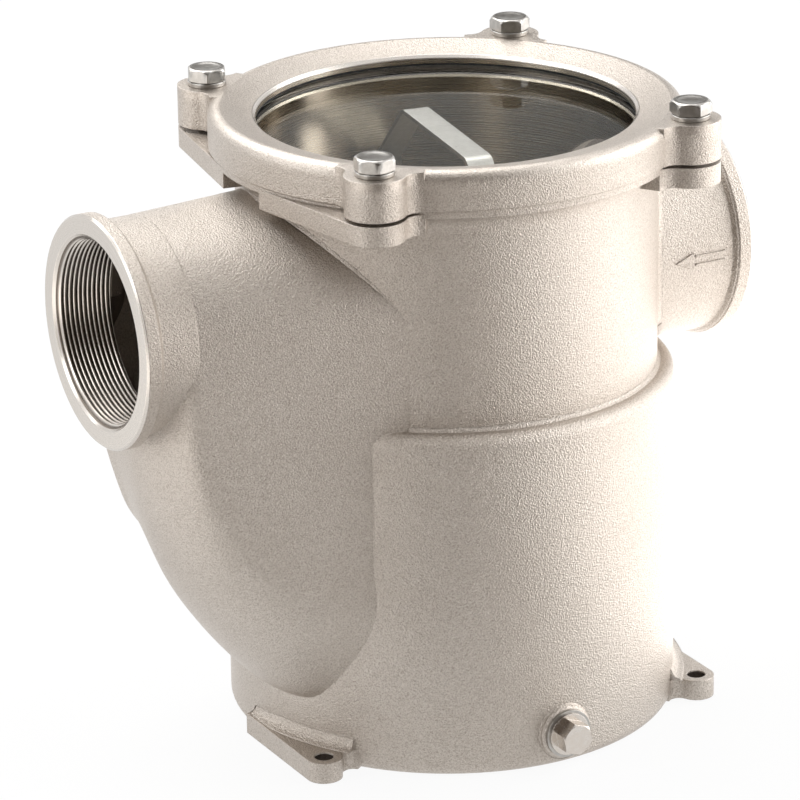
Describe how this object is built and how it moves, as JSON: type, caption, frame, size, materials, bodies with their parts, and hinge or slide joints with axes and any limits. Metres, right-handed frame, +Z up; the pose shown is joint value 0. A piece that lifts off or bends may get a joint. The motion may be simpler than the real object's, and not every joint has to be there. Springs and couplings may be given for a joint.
{
  "type": "seawater strainer",
  "caption": "Cast seawater strainer: round vessel with threaded side ports, a swept outlet duct, a bolted sight-glass cover and a lift-out basket.",
  "frame": {"origin": "centre of the vessel's flat base", "axes": "+Z up along the vessel's axis, +X towards the inlet port, -Y towards the drain plug"},
  "size_m": [0.3181, 0.2463, 0.3034],
  "materials": {
    "cast_body": "nickel-plated cast bronze, fine blasted grain, satin warm grey",
    "cast_cover": "nickel-plated cast bronze, fine blasted grain, satin warm grey",
    "clear_disc": "clear polished disc",
    "seal": "matte black",
    "bright_nickel": "bright nickel plating",
    "stainless_steel": "bright stainless steel",
    "basket_steel": "satin stainless sheet"
  },
  "bodies": {
    "strainer": {"strainer_body": "cast_body", "body_o_ring": "seal"},
    "cover": {"cover_ring": "cast_cover", "sight_glass": "clear_disc", "cover_gasket": "seal"},
    "basket": {"basket_shell": "basket_steel", "basket_floor": "basket_steel", "basket_rim": "basket_steel", "basket_hoop": "basket_steel", "basket_handle": "basket_steel", "handle_rivets": "basket_steel"},
    "washer_1": {"spring_washer_1": "stainless_steel"},
    "bolt_1": {"cover_bolt_1": "stainless_steel"},
    "washer_2": {"spring_washer_2": "stainless_steel"},
    "bolt_2": {"cover_bolt_2": "stainless_steel"},
    "washer_3": {"spring_washer_3": "stainless_steel"},
    "bolt_3": {"cover_bolt_3": "stainless_steel"},
    "washer_4": {"spring_washer_4": "stainless_steel"},
    "bolt_4": {"cover_bolt_4": "stainless_steel"},
    "drain_washer": {"drain_washer": "bright_nickel"},
    "drain_plug": {"drain_plug": "bright_nickel"}
  },
  "joints": [
    {"name": "cover_lift", "type": "slide", "parent": "strainer", "child": "cover", "axis": [0, 0, 1], "range_m": [0, 0.4]},
    {"name": "basket_lift", "type": "slide", "parent": "strainer", "child": "basket", "axis": [0, 0, 1], "range_m": [0, 0.265]},
    {"name": "washer_rise_1", "type": "slide", "parent": "cover", "child": "washer_1", "axis": [0, 0, 1], "range_m": [0, 0.009]},
    {"name": "bolt_turn_1", "type": "hinge", "parent": "washer_1", "child": "bolt_1", "pos_m": [0.08224, 0.08224, 0.297], "axis": [0, 0, 1], "range_deg": [0, 2400]},
    {"name": "washer_rise_2", "type": "slide", "parent": "cover", "child": "washer_2", "axis": [0, 0, 1], "range_m": [0, 0.009]},
    {"name": "bolt_turn_2", "type": "hinge", "parent": "washer_2", "child": "bolt_2", "pos_m": [-0.08224, 0.08224, 0.297], "axis": [0, 0, 1], "range_deg": [0, 2400]},
    {"name": "washer_rise_3", "type": "slide", "parent": "cover", "child": "washer_3", "axis": [0, 0, 1], "range_m": [0, 0.009]},
    {"name": "bolt_turn_3", "type": "hinge", "parent": "washer_3", "child": "bolt_3", "pos_m": [-0.08224, -0.08224, 0.297], "axis": [0, 0, 1], "range_deg": [0, 2400]},
    {"name": "washer_rise_4", "type": "slide", "parent": "cover", "child": "washer_4", "axis": [0, 0, 1], "range_m": [0, 0.009]},
    {"name": "bolt_turn_4", "type": "hinge", "parent": "washer_4", "child": "bolt_4", "pos_m": [0.08224, -0.08224, 0.297], "axis": [0, 0, 1], "range_deg": [0, 2400]},
    {"name": "drain_draw", "type": "slide", "parent": "strainer", "child": "drain_washer", "axis": [0, -1, 0], "range_m": [0, 0.0107]},
    {"name": "drain_turn", "type": "hinge", "parent": "drain_washer", "child": "drain_plug", "pos_m": [0, -0.112, 0.0168], "axis": [0, -1, 0], "range_deg": [0, 3200]}
  ],
  "couplings": [
    {"joint": "basket_lift", "follows": "cover_lift", "ratio": 0.65},
    {"joint": "bolt_turn_1", "follows": "washer_rise_1", "rad_per_m": 4188.8},
    {"joint": "bolt_turn_2", "follows": "washer_rise_2", "rad_per_m": 4188.8},
    {"joint": "bolt_turn_3", "follows": "washer_rise_3", "rad_per_m": 4188.8},
    {"joint": "bolt_turn_4", "follows": "washer_rise_4", "rad_per_m": 4188.8},
    {"joint": "drain_turn", "follows": "drain_draw", "rad_per_m": 4699.5}
  ]
}
